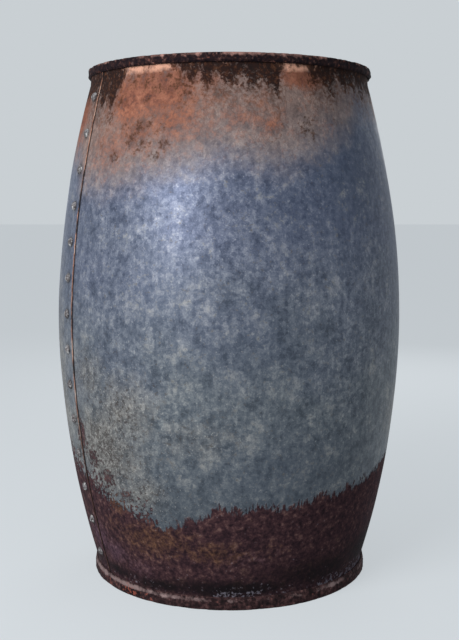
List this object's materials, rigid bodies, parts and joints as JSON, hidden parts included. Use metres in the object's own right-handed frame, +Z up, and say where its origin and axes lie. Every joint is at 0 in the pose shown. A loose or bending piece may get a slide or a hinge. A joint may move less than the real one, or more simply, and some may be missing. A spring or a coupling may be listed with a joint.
{
  "type": "oil barrel",
  "caption": "Bilged riveted steel barrel, rusty and weathered, with flanged heads, rolled chime rings and a screwed bung and vent, for storing and carrying oil.",
  "frame": {"origin": "centre of the foot, on the surface that the barrel stands on", "axes": "+Z up along the barrel's axis; -Y is the front, with the side seam 59 degrees round to its left"},
  "size_m": [0.6019, 0.6007, 0.875],
  "materials": {
    "zinc_sheet": "weathered hot-dip zinc over steel, mottled grey-blue, with orange rust at the top and maroon rust at the foot",
    "rivet_steel": "rusted forged steel",
    "head_steel": "rusted steel sheet with dirt and scale",
    "ring_steel": "dark pitted rust with paler edges",
    "fitting_steel": "rusted forged steel",
    "plug_iron": "rusted cast iron, square worn by the key",
    "gasket_rubber": "aged black rubber"
  },
  "bodies": {
    "barrel": {"shell": "zinc_sheet", "seam_rivets": "rivet_steel", "top_head": "head_steel", "bottom_head": "head_steel", "rim_ring": "ring_steel", "foot_ring": "ring_steel", "bung_flange": "fitting_steel", "bung_flange_rivets": "rivet_steel", "vent_flange": "fitting_steel", "vent_flange_rivets": "rivet_steel"},
    "bung_gasket": {"bung_gasket": "gasket_rubber"},
    "bung_plug": {"bung_plug": "plug_iron"},
    "vent_gasket": {"vent_gasket": "gasket_rubber"},
    "vent_plug": {"vent_plug": "plug_iron"}
  },
  "joints": [
    {"name": "bung_lift", "type": "slide", "parent": "barrel", "child": "bung_gasket", "axis": [0, 0, 1], "range_m": [0, 0.0139]},
    {"name": "bung_turn", "type": "hinge", "parent": "bung_gasket", "child": "bung_plug", "pos_m": [0.12002, 0.12002, 0.86], "axis": [0, 0, 1], "range_deg": [0, 2160]},
    {"name": "vent_lift", "type": "slide", "parent": "barrel", "child": "vent_gasket", "axis": [0, 0, 1], "range_m": [0, 0.0109]},
    {"name": "vent_turn", "type": "hinge", "parent": "vent_gasket", "child": "vent_plug", "pos_m": [-0.11926, -0.11926, 0.858], "axis": [0, 0, 1], "range_deg": [0, 2160]}
  ],
  "couplings": [
    {"joint": "bung_lift", "follows": "bung_turn", "m_per_rad": 0.00036749},
    {"joint": "vent_lift", "follows": "vent_turn", "m_per_rad": 0.00028871}
  ]
}
